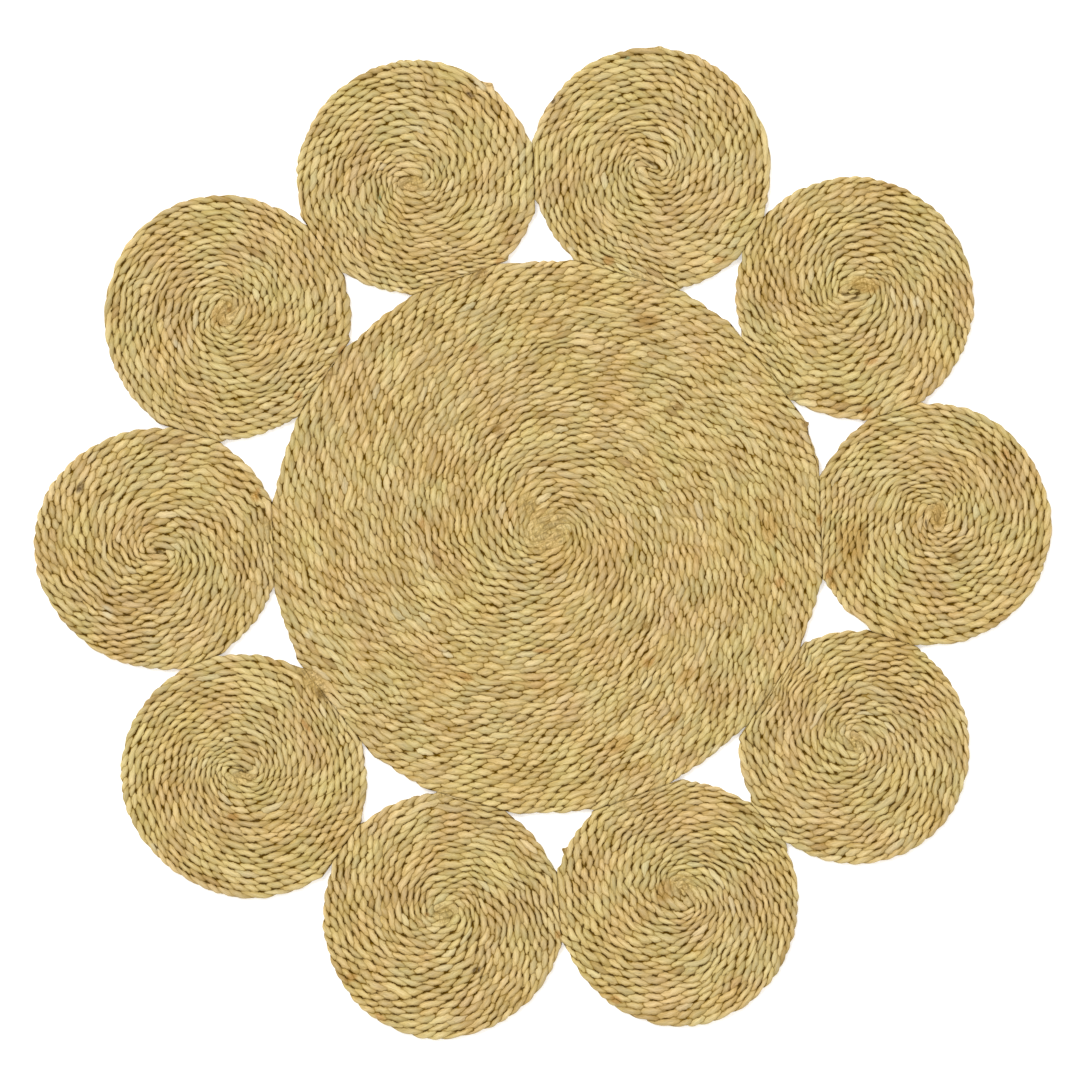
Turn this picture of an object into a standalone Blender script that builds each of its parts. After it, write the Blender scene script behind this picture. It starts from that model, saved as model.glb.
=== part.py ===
"""A jute placemat: eleven flat coils of twisted cord, stitched edge to edge.

One large coil lies in the middle and ten small coils stand around it in a ring.
The mat lies flat on z = 0. The origin is under the middle of the large coil,
+Y points between the two uppermost small coils, and +Z is up.
"""

import math
from collections import namedtuple

import bmesh
import bpy
from mathutils import Vector

MM = 0.001

# Heights over the table
CROWN_Z = 3.2 * MM          # top of a raised round
GROOVE_Z = 2.5 * MM         # bottom of the groove between two raised rounds
EYE_Z = 2.9 * MM            # top of a coil at its eye

# The edge of a coil, from the top round to the underside: height, and how far inside the widest line
EDGE_TOP = (2.5 * MM, 0.8 * MM)
EDGE_WIDEST = (1.5 * MM, 0.0)
EDGE_LOW = (0.5 * MM, 0.3 * MM)
EDGE_FOOT = (0.0, 0.9 * MM)

# The cord, and how its turns show in the solids
CORD_PITCH = 2.6 * MM       # from one turn of the cord to the next
TURNS_PER_ROUND = 3         # turns of cord that one raised round stands for
LINES_PER_ROUND = 2         # a crown line and a groove line
LINE_PITCH = CORD_PITCH * TURNS_PER_ROUND / LINES_PER_ROUND
SNAP = LINE_PITCH / 3       # a line closer than this to the eye or the edge runs into it

# Stitched joins between coils
JOIN_GAP = 0.3 * MM         # air left between two coils
JOIN_REACH = 2.0 * MM       # coils whose circles are closer than this touch
CORNER_SOFTNESS = 1.5 * MM  # how softly a coil's edge runs into its flat join

# A coil's uneven edge
LOBE_COUNT = 3              # swells round the edge, beside its oval
UNEVEN_FADE = 3             # power by which the turns grow rounder towards the eye

MERGE_DISTANCE = 0.001 * MM
SHARP_ANGLE = math.radians(50)

# Sizes in millimetres, angles in degrees from +X. Columns: node name, steps round the coil,
# its middle, mean radius, oval (how far the edge swells at both ends of its long axis, and
# where that points), lobes (the same with three swells), the eye's place beside the middle,
# and where the cord's outer end is tucked in.
Coil = namedtuple(
    "Coil",
    "node steps x y radius oval oval_angle lobes lobes_angle eye_x eye_y end_angle",
)
COILS = [
    Coil("centre_coil", 60, 0.0, 0.0, 104.0, 1.0, 41, 0.4, 18, 0.4, 1.2, 24),
    Coil("coil_01", 30, -49.1, 134.2, 44.8, 0.6, -10, 0.5, -30, -1.9, -1.4, -52),
    Coil("coil_02", 30, 39.0, 137.8, 45.5, 0.7, -64, 0.3, 55, -0.7, 0.3, -88),
    Coil("coil_03", 30, 115.2, 89.3, 45.3, 0.6, -68, 0.1, 59, -0.1, 3.0, -124),
    Coil("coil_04", 30, 143.7, 4.4, 45.4, 0.2, -80, 0.1, -38, 1.1, 3.2, -160),
    Coil("coil_05", 30, 115.2, -79.3, 43.7, 0.3, 83, 0.2, -51, 0.0, 1.7, 162),
    Coil("coil_06", 30, 48.5, -137.3, 46.0, 0.4, -67, 0.4, 38, 3.0, 2.8, 126),
    Coil("coil_07", 30, -39.5, -142.5, 45.8, 0.4, 88, 0.3, 1, 0.5, 1.6, 92),
    Coil("coil_08", 30, -113.6, -90.0, 46.0, 0.9, -38, 0.5, -59, -1.4, 2.0, 56),
    Coil("coil_09", 30, -146.4, -4.4, 45.8, 0.5, -15, 0.5, 47, 0.2, -1.5, 20),
    Coil("coil_10", 30, -120.6, 81.9, 46.2, 0.1, -1, 0.6, 2, -0.1, 2.2, -18),
]

JUTE_COLOUR = (0.546, 0.398, 0.161, 1.0)
JUTE_ROUGHNESS = 0.85


def clear_scene():
    for old in list(bpy.data.objects):
        bpy.data.objects.remove(old, do_unlink=True)


def jute_material(name):
    """Undyed jute, dry and matt."""
    material = bpy.data.materials.new(name)
    material.use_nodes = True
    shader = material.node_tree.nodes["Principled BSDF"]
    shader.inputs["Base Color"].default_value = JUTE_COLOUR
    shader.inputs["Roughness"].default_value = JUTE_ROUGHNESS
    shader.inputs["Metallic"].default_value = 0.0
    return material


def middle(coil):
    return Vector((coil.x * MM, coil.y * MM))


def free_radius(coil, angle):
    """The coil's uneven radius where nothing presses on it."""
    oval = coil.oval * math.cos(2 * (angle - math.radians(coil.oval_angle)))
    lobes = coil.lobes * math.cos(LOBE_COUNT * (angle - math.radians(coil.lobes_angle)))
    return (coil.radius + oval + lobes) * MM


def softer_of(first, second):
    """The smaller of two lengths, rounded off where they are nearly the same."""
    overlap = max(CORNER_SOFTNESS - abs(first - second), 0.0) / CORNER_SOFTNESS
    return min(first, second) - overlap * overlap * CORNER_SOFTNESS / 4


def joins_of(coil):
    """The way to each coil that this one touches, and how far off the line between them lies."""
    joins = []
    for other in COILS:
        if other is coil:
            continue
        way = middle(other) - middle(coil)
        here = coil.radius * MM
        there = other.radius * MM
        if way.length < here + there + JOIN_REACH:
            line = (way.length ** 2 + here ** 2 - there ** 2) / (2 * way.length)
            joins.append((math.atan2(way.y, way.x), line - JOIN_GAP / 2))
    return joins


def edge_radius(coil, joins, angle):
    """From the coil's middle to its edge, which is pressed flat along each join."""
    radius = free_radius(coil, angle)
    for way, line in joins:
        facing = math.cos(angle - way)
        if facing * radius > line - CORNER_SOFTNESS:
            radius = softer_of(radius, line / facing)
    return radius


def place_on_coil(coil, joins, share, angle, inset):
    """A point seen from above. share runs from 0 at the eye to 1 at the edge."""
    eye = Vector((coil.eye_x * MM, coil.eye_y * MM))
    uneven = edge_radius(coil, joins, angle) - coil.radius * MM
    outward = Vector((math.cos(angle), math.sin(angle)))
    radius = share * (coil.radius * MM - inset) + share ** UNEVEN_FADE * uneven
    return middle(coil) + (1 - share) * eye + radius * outward


def top_height(coil, line, out):
    """Crowns and grooves take turns, and both run out at the eye and at the edge."""
    to_edge = coil.radius * MM - out
    relief = CROWN_Z if line % LINES_PER_ROUND == 0 else GROOVE_Z
    edge_height, _ = EDGE_TOP
    from_eye = min(out / LINE_PITCH, 1.0)
    from_edge = min(to_edge / LINE_PITCH, 1.0)
    height = EYE_Z + (relief - EYE_Z) * from_eye
    return edge_height + (height - edge_height) * from_edge


def spiral_lines(mesh, coil, joins):
    """The top's lines. Each winds out by one raised round in one time round the coil.

    The last lines lie wholly on the edge, so that every line has one to run on into.
    """
    start = math.radians(coil.end_angle)
    reach = coil.radius * MM
    line_count = math.ceil(reach / LINE_PITCH) + 2 * LINES_PER_ROUND + 1
    _, inset = EDGE_TOP
    lines = []
    for line in range(line_count):
        vertices = []
        for step in range(coil.steps):
            wound = LINES_PER_ROUND * (step / coil.steps - 1)
            out = (line + wound) * LINE_PITCH
            if out < SNAP:
                out = 0.0
            if out > reach - SNAP:
                out = reach
            angle = start + math.tau * step / coil.steps
            place = place_on_coil(coil, joins, out / reach, angle, inset)
            vertices.append(mesh.verts.new((place.x, place.y, top_height(coil, line, out))))
        lines.append(vertices)
    return lines


def edge_ring(mesh, coil, joins, height, inset):
    start = math.radians(coil.end_angle)
    vertices = []
    for step in range(coil.steps):
        angle = start + math.tau * step / coil.steps
        place = place_on_coil(coil, joins, 1.0, angle, inset)
        vertices.append(mesh.verts.new((place.x, place.y, height)))
    return vertices


def add_strip(mesh, inner, outer, inner_end, outer_end):
    """Faces between two lines. Each line's end is where it arrives after one time round."""
    inner = inner + [inner_end]
    outer = outer + [outer_end]
    for step in range(len(inner) - 1):
        mesh.faces.new((inner[step], outer[step], outer[step + 1], inner[step + 1]))


def build_coil(coil, collection):
    """One closed solid: raised rounds on top, a rounded edge and a flat underside."""
    joins = joins_of(coil)
    mesh = bmesh.new()
    lines = spiral_lines(mesh, coil, joins)
    edge_line = len(lines) - 1 - LINES_PER_ROUND
    for line in range(edge_line):
        inner_end = lines[line + LINES_PER_ROUND][0]
        outer_end = lines[line + 1 + LINES_PER_ROUND][0]
        add_strip(mesh, lines[line], lines[line + 1], inner_end, outer_end)

    above = lines[edge_line]
    for height, inset in (EDGE_WIDEST, EDGE_LOW, EDGE_FOOT):
        ring = edge_ring(mesh, coil, joins, height, inset)
        add_strip(mesh, above, ring, above[0], ring[0])
        above = ring
    mesh.faces.new(above)

    bmesh.ops.remove_doubles(mesh, verts=mesh.verts, dist=MERGE_DISTANCE)
    bmesh.ops.recalc_face_normals(mesh, faces=mesh.faces)
    data = bpy.data.meshes.new(coil.node)
    mesh.to_mesh(data)
    mesh.free()
    data.materials.append(jute_material("jute_of_" + coil.node))
    data.shade_smooth()
    data.set_sharp_from_angle(angle=SHARP_ANGLE)
    collection.objects.link(bpy.data.objects.new(coil.node, data))


def main():
    clear_scene()
    collection = bpy.data.collections.new("jute_placemat")
    bpy.context.scene.collection.children.link(collection)
    for coil in COILS:
        build_coil(coil, collection)


main()
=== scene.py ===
"""The looks of a jute placemat: eleven coils of two-ply twisted cord, wound flat and stitched.

Every coil is one closed skin over its spiral of cord. Each ply rises, leans over the cord
and dives again, so a turn of cord shows as a row of slanting, leaf-shaped lumps. The skin
carries the lumps as relief, and its jute material draws their edges and fibres from the
same numbers, which it reads from the skin's own attributes. Lengths are in millimetres until
they go into a mesh.
"""

import math
from collections import namedtuple

import bpy
import numpy as np
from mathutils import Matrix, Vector


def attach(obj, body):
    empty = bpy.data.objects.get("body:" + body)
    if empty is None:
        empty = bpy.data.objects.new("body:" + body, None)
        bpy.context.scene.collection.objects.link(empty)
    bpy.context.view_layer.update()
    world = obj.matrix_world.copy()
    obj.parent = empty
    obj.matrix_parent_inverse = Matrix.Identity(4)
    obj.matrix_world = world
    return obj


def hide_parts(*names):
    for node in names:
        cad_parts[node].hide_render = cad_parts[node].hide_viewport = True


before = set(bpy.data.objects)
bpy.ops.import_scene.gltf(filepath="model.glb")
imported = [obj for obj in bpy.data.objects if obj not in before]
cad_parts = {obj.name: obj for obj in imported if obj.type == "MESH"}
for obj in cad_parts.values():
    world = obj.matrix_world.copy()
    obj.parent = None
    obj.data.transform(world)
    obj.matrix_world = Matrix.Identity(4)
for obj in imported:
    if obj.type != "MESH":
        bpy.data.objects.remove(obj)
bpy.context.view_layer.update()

MM = 0.001
TAU = math.tau

# Heights over the table, in millimetres
MIDDLE_Z = 1.6
CROWN_Z = 3.1               # the tops of the lumps
HUMP_FOOT_Z = 2.7           # where a knot or a fuzzy spot sits on them
TOP_RELIEF = 1.05           # from the top of a lump down to the pits between lumps
SOLE_RELIEF = 0.85          # the same under the mat
ROUND_RELIEF = 0.85         # the same for what is too fine for the skin's own lines,
EDGE_RELIEF = 0.28          # and how far its surface drops at the edge between two lumps

# Joins between coils, in millimetres
JOIN_GAP = 0.04
JOIN_REACH = 2.0
CLING = 0.9                 # coils this close still reach for each other,
CLING_WHOLE = 0.35          # and this close they lie together
TUCK = 0.14                 # how far a rim lies over the one that it touches, and under its own top
PRESS_FADE = 1.2            # over this distance the rim goes from pressed flat to round
LOBE_COUNT = 3
UNEVEN_FADE = 3

# The cord
TURN_PITCH = 2.62           # about the width of one turn, in millimetres
LUMP_LENGTH = 5.5           # half a lay of the twist, in millimetres
EDGE_ROUND = 0.95           # how far round the cord the edge between two lumps still shows
FIBRE_LEAN = math.radians(22)
LUMP_POWER = 0.42           # low for plump lumps with steep sides
RAGGED_SCALE = 650.0        # how finely the lumps' edges fray, per metre
RAGGED_AHEAD = 0.30         # and how far, in lumps along the cord
RAGGED_ASIDE = 0.36         # and in turns across it
LUMP_UNEVEN = 0.20          # how much the lumps differ in size
PIT_DEPTH = 0.55            # how deep the pits at a lump's tips are, of the lump's rise
PIT_LONG = 0.17             # half a pit's length, of a lump's
PIT_WIDE = 0.12             # half its width, of a turn's
SIZE_DEAL = (0.7548777, 37.3, 11.7)     # numbers that deal each lump its size
PIT_DEAL = (0.6180340, 29.7, 13.1)      # and each pit its depth, by no plain rule
PIT_DEAL_ASIDE = 0.37                   # which differs at the two sides of a turn
TAPER = 0.07                # share of the last turn over which the cord's end thins out
TAIL_THICK = 0.7            # how thick its very end still is
TWIST_STEPS = 120           # steps per turn in which the twist is worked out
SPARE_TURNS = 3             # turns worked out beyond the last
TIGHTEST = 0.35             # the tightest bend at the eye, in turns
EYE_TIGHT = 0.8             # how much shorter the lumps are at the eye
EYE_REACH = 9.0             # and how far out that fades, in millimetres
GRIT_STEP = 3.5             # how often that changes along the cord, in millimetres
RIM_BUMP = 0.70             # how far the edge draws in between two lumps, in millimetres
RIM_POWER = 1.6             # high for lumps that are blunt there
RIM_UNEVEN = 1.6            # and how much further in a small lump lies, per share it is smaller
RIM_OUT_MOST = 0.2          # the furthest that a big one stands out, in millimetres
RIM_SINE = 0.88             # where the top's last line lies on the round of the rim
RIM_ACROSS = 0.75           # how far round the cord its widest line lies, in turns
FOLD_REACH = 10.0           # how far out the turns still follow the folded first end
FOLD_SHARP = 1.6            # how sharply it is folded
WANDER = 0.34               # how far the turns stray sideways, in millimetres
WANDER_WAVES = 14
WANDER_SHORTEST = 7.0
WANDER_LONGEST = 26.0
WANDER_FROM_EYE = 4         # how fast they begin to stray, away from the eye
WANDER_FROM_RIM = 6         # and away from the rim
FIRST_SEED = 100

# How many lines the mesh has to a turn of cord, and the step along them in millimetres
Fineness = namedtuple("Fineness", "top_lines top_step sole_lines sole_step rim_step")
FINE = Fineness(6, 0.50, 2, 1.35, 0.6)
BROAD = Fineness(4, 0.70, 2, 1.70, 0.8)
EYE_LINE = 0.5              # the radius of the shortest line, in millimetres
EYE_RADIUS = 2.0            # nearer the eye, slants and steps are worked out as if this far out
SPREAD = 0.3                # a point's height is a mean over this share of a line's width and step
BEYOND_RIM = 4              # sinks the turn that a free rim hasn't beside it

# How a cord is twisted and wound. Lean is how much of a lump's length the edge between two lumps
# runs along the cord, above 0 where lumps lean outward counter-clockwise. Nestle is how firmly the
# turns slide into each other, and grit how unevenly the cord is twisted. A lump has dropped by
# along_drop at the next one in its row, and by across_drop at the edge of its row.
Twist = namedtuple("Twist", "lean nestle grit along_drop across_drop")
SWIRLED = Twist(-0.82, 0.20, 0.22, 0.80, 0.43)
RINGED = Twist(0.74, 0.0, 0.27, 0.58, 0.66)

# Columns as in the part's source, in millimetres and degrees: node, middle, mean radius, oval,
# lobes, the eye's place beside the middle, where the cord's outer end is tucked in. Then how the
# cord is twisted, how pale it is, and how long its folded first end is and where that points.
Coil = namedtuple(
    "Coil",
    "node x y radius oval oval_angle lobes lobes_angle eye_x eye_y end_angle twist pale"
    " fold fold_angle",
)
COILS = [
    Coil("centre_coil", 0.0, 0.0, 104.0, 1.0, 41, 0.4, 18, 0.4, 1.2, 24, SWIRLED, 0.0, 3.2, 20),
    Coil("coil_01", -49.1, 134.2, 44.8, 0.6, -10, 0.5, -30, -1.9, -1.4, -52, RINGED, 0.4, 3.0, 0),
    Coil("coil_02", 39.0, 137.8, 45.5, 0.7, -64, 0.3, 55, -0.7, 0.3, -88, RINGED, 0.4, 3.2, -20),
    Coil("coil_03", 115.2, 89.3, 45.3, 0.6, -68, 0.1, 59, -0.1, 3.0, -124, SWIRLED, 0.1, 3.2, 10),
    Coil("coil_04", 143.7, 4.4, 45.4, 0.2, -80, 0.1, -38, 1.1, 3.2, -160, RINGED, 0.0, 2.2, 80),
    Coil("coil_05", 115.2, -79.3, 43.7, 0.3, 83, 0.2, -51, 0.0, 1.7, 162, SWIRLED, 0.1, 2.4, -60),
    Coil("coil_06", 48.5, -137.3, 46.0, 0.4, -67, 0.4, 38, 3.0, 2.8, 126, SWIRLED, 0.1, 3.0, -60),
    Coil("coil_07", -39.5, -142.5, 45.8, 0.4, 88, 0.3, 1, 0.5, 1.6, 92, SWIRLED, 0.1, 2.6, 20),
    Coil("coil_08", -113.6, -90.0, 46.0, 0.9, -38, 0.5, -59, -1.4, 2.0, 56, RINGED, 0.0, 3.6, -12),
    Coil("coil_09", -146.4, -4.4, 45.8, 0.5, -15, 0.5, 47, 0.2, -1.5, 20, SWIRLED, 0.1, 3.0, -12),
    Coil("coil_10", -120.6, 81.9, 46.2, 0.1, -1, 0.6, 2, -0.1, 2.2, -18, RINGED, 0.2, 2.6, 65),
]

# What shows here and there on a coil: its colour, how strongly it is tinted, how far it hides the
# lumps under it, and how high it stands over them in millimetres
Look = namedtuple("Look", "colour strength calm rise")
STAIN = Look((0.430, 0.240, 0.055), 0.70, 0.0, 0.0)
FUZZ = Look((0.500, 0.325, 0.095), 0.50, 0.85, 0.0)
RUST = Look((0.420, 0.205, 0.045), 0.75, 0.0, 0.0)
BROWN = Look((0.250, 0.130, 0.020), 0.75, 0.2, 0.0)
DARK = Look((0.100, 0.054, 0.018), 0.95, 0.3, -0.2)
PALE = Look((0.720, 0.640, 0.420), 0.60, 0.1, 0.0)
GREEN = Look((0.170, 0.300, 0.180), 0.85, 0.2, 0.0)
KNOT = Look((0.530, 0.355, 0.115), 0.40, 0.75, 0.35)
PALE_KNOT = Look((0.640, 0.490, 0.220), 0.40, 0.70, 0.30)
BROWN_KNOT = Look((0.350, 0.200, 0.055), 0.60, 0.75, 0.40)
ORANGE_KNOT = Look((0.480, 0.250, 0.045), 0.65, 0.70, 0.25)
DARK_KNOT = Look((0.165, 0.090, 0.020), 0.70, 0.70, 0.45)
# Painted shade: near black in the slits at the coils' eyes, which are also cut 0.7 mm in
SLIT_SHADE = Look((0.070, 0.035, 0.003), 0.90, 0.0, -0.7)

# For each look where it shows: x, y, half its length and width, and its angle, from +X
MARKS = {
    STAIN: [
        (119.5, 94.5, 5.6, 2.8, -12), (118.5, 93.0, 4.2, 1.5, -14), (51.8, -52.4, 4.5, 2.2, 40),
        (83.3, 2.7, 3.0, 5.2, 0), (26.7, -77.9, 5.2, 3.0, 20), (43.5, -132.7, 4.5, 3.2, 60),
        (114.4, -1.8, 6.0, 7.5, 0), (37.5, 80.7, 4.5, 3.0, 0), (147.0, 8.0, 2.6, 4.5, 0),
        (-123.7, 82.6, 2.6, 4.1, 0),
    ],
    FUZZ: [
        (-87.5, -55.0, 6.5, 3.4, -52), (119.0, 94.0, 4.5, 2.6, -10), (-51.0, 132.1, 5.6, 3.0, 0),
        (116.3, 95.3, 5.2, 2.6, -5), (146.3, 8.3, 3.4, 4.9, 0), (50.3, -130.4, 4.5, 3.8, 0),
        (-120.7, 84.1, 4.1, 5.2, 0), (0.0, 1.6, 9.0, 7.5, 30), (-7.1, 11.7, 3.4, 4.5, 40),
        (-39.3, -141.7, 3.4, 4.1, 0), (-115.1, -90.7, 5.2, 2.2, 0), (115.5, -77.5, 3.4, 3.4, 0),
    ],
    RUST: [
        (-18.2, 103.3, 1.9, 1.1, 30), (22.7, 103.5, 2.2, 1.9, -16), (-90.8, -71.0, 3.4, 0.9, -52),
        (-93.6, 52.7, 1.9, 1.5, 56), (-77.4, 69.8, 1.9, 1.1, 56), (-74.0, -165.4, 2.4, 1.6, 20),
        (63.8, 103.6, 2.2, 1.1, 20), (-118.1, -105.3, 2.2, 1.5, 0), (87.0, -17.2, 2.6, 1.5, 60),
        (102.0, 6.5, 1.9, 1.1, 80), (-109.1, 16.2, 2.2, 1.1, 70), (-31.1, -52.8, 3.0, 1.5, -15),
        (119.7, 47.3, 2.2, 1.5, 0), (-27.7, 70.6, 1.9, 1.1, 20), (121.2, 65.7, 2.6, 1.5, 15),
        (25.5, -173.9, 2.2, 1.5, -30), (-47.2, 5.0, 2.2, 1.1, 90), (47.7, -68.5, 1.9, 1.1, 30),
        (105.4, -14.2, 2.2, 1.5, 70), (-1.5, -43.0, 3.8, 0.8, 0), (37.9, -47.2, 2.6, 1.5, 35),
        (171.4, 30.8, 2.2, 1.5, -60), (-119.6, 84.8, 0.8, 0.8, 0), (-62.8, -180.4, 2.3, 1.0, -32),
        (-45.4, -141.8, 0.9, 0.8, 0), (3.8, -149.4, 1.2, 1.5, 0),
    ],
    BROWN: [
        (151.5, -8.2, 2.2, 1.9, 0), (-19.1, 39.8, 2.2, 1.9, 0), (36.8, -33.7, 1.9, 1.5, 0),
        (49.2, 48.8, 1.9, 1.5, 0), (8.7, 0.8, 1.5, 1.1, 60), (6.4, -117.7, 1.5, 1.5, 60),
    ],
    DARK: [
        (1.9, 163.2, 1.1, 0.8, 60), (-175.4, 18.4, 2.4, 1.3, 58), (-26.6, -162.7, 1.7, 1.1, 20),
        (-29.2, 165.5, 1.9, 0.9, -20),
    ],
    PALE: [
        (62.3, -79.8, 1.9, 0.9, 20), (-147.3, -116.5, 1.9, 0.9, -40),
        (-165.3, -28.4, 2.6, 1.5, -60), (-89.6, -36.7, 2.2, 1.1, 60), (8.7, 107.7, 1.5, 0.8, 0),
        (-55.5, 92.7, 1.5, 0.8, 10), (-37.8, -44.2, 2.6, 1.1, -30), (-25.8, 169.2, 3.0, 1.5, -30),
        (138.0, 87.8, 2.2, 1.1, 80), (-139.1, 71.7, 2.2, 1.1, -60),
    ],
    GREEN: [
        (29.7, 179.3, 1.1, 0.6, 30), (-63.3, 127.2, 1.2, 0.7, -60),
    ],
    KNOT: [
        (81.6, -60.7, 1.9, 1.9, 55), (79.8, -64.0, 1.7, 2.2, 65), (27.6, -99.8, 3.4, 2.4, 19),
        (-40.8, -96.6, 2.6, 1.9, -15), (-105.4, 4.7, 2.2, 2.1, -28), (-46.1, 131.3, 1.5, 1.1, 0),
        (42.0, 183.1, 1.5, 1.1, 0), (-92.6, -49.9, 2.2, 1.9, -52),
    ],
    PALE_KNOT: [
        (32.9, 97.1, 4.5, 1.7, -16), (41.8, -94.8, 3.4, 1.3, 19),
    ],
    BROWN_KNOT: [
        (-25.3, 98.7, 3.2, 1.9, 20), (91.3, 53.2, 1.7, 1.1, 88), (-82.4, 60.5, 2.1, 1.9, 56),
        (-21.7, 169.2, 2.2, 1.1, -35), (96.8, 42.1, 1.5, 1.5, 0),
    ],
    ORANGE_KNOT: [
        (101.7, 5.7, 2.6, 1.1, -88), (106.9, -18.1, 2.2, 1.5, -68), (-109.8, 14.7, 2.1, 1.7, -58),
    ],
    DARK_KNOT: [
        (-85.1, -59.3, 2.2, 1.5, -40),
    ],
    SLIT_SHADE: [
        (-145.8, -5.5, 2.1, 0.7, -25), (38.7, 140.0, 2.1, 0.6, -25), (111.4, 90.5, 1.5, 0.5, -20),
        (115.2, 89.3, 1.5, 0.5, 20), (-115.8, -86.2, 1.5, 0.4, 0), (-114.3, -88.0, 1.7, 0.5, -20),
        (141.8, 4.6, 0.5, 1.5, 15),
    ],
}

# A mark fades out to here, in half its sizes, over this much
MARK_EDGE = 1.3
MARK_SOFT = 0.6

# Ends of cord that stick out of a rim: which way, how far and half how wide
Nub = namedtuple("Nub", "node angle out wide")
NUBS = [
    Nub("coil_01", 51.7, 1.1, 1.4),
    Nub("coil_02", 86.2, 0.8, 1.1),
    Nub("coil_06", 155.0, 2.2, 0.8),
    Nub("centre_coil", 23.5, 1.7, 1.1),
]


# Where the cord lies


def joins_of(coil):
    """The way to each coil that this one touches, how far off the line between them lies,
    and 1 where this coil's rim lies over the other, -1 where it lies under it.
    """
    joins = []
    for other in COILS:
        away = math.hypot(other.x - coil.x, other.y - coil.y)
        if other is coil or away > coil.radius + other.radius + JOIN_REACH:
            continue
        line = (away ** 2 + coil.radius ** 2 - other.radius ** 2) / (2 * away)
        way = math.atan2(other.y - coil.y, other.x - coil.x)
        over = 1 if COILS.index(coil) < COILS.index(other) else -1
        joins.append((way, line - JOIN_GAP / 2, over))
    return joins


def outline(coil, joins, angle):
    """From the coil's middle to its edge, how far each part is pressed flat by a neighbour,
    and how far its top lies over the neighbour.

    The edge is flat along a join, and clings to the join a little beyond where round coils would.
    """
    oval = coil.oval * np.cos(2 * (angle - math.radians(coil.oval_angle)))
    lobes = coil.lobes * np.cos(LOBE_COUNT * (angle - math.radians(coil.lobes_angle)))
    radius = coil.radius + oval + lobes
    pressed = 0 * angle
    tuck = 0 * angle
    for way, line, over in joins:
        limit = line / np.maximum(np.cos(angle - way), 0.01)
        apart = np.maximum(limit - radius, 0)
        pull = np.clip((CLING - apart) / (CLING - CLING_WHOLE), 0, 1)
        pull = pull * pull * (3 - 2 * pull)
        radius = np.where(limit < radius, limit, radius + apart * pull)
        pressed = np.maximum(pressed, np.clip(1 - apart / PRESS_FADE, 0, 1))
        tuck = tuck + over * TUCK * np.clip(1 - apart / PRESS_FADE, 0, 1)
    return radius, pressed, tuck


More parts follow.
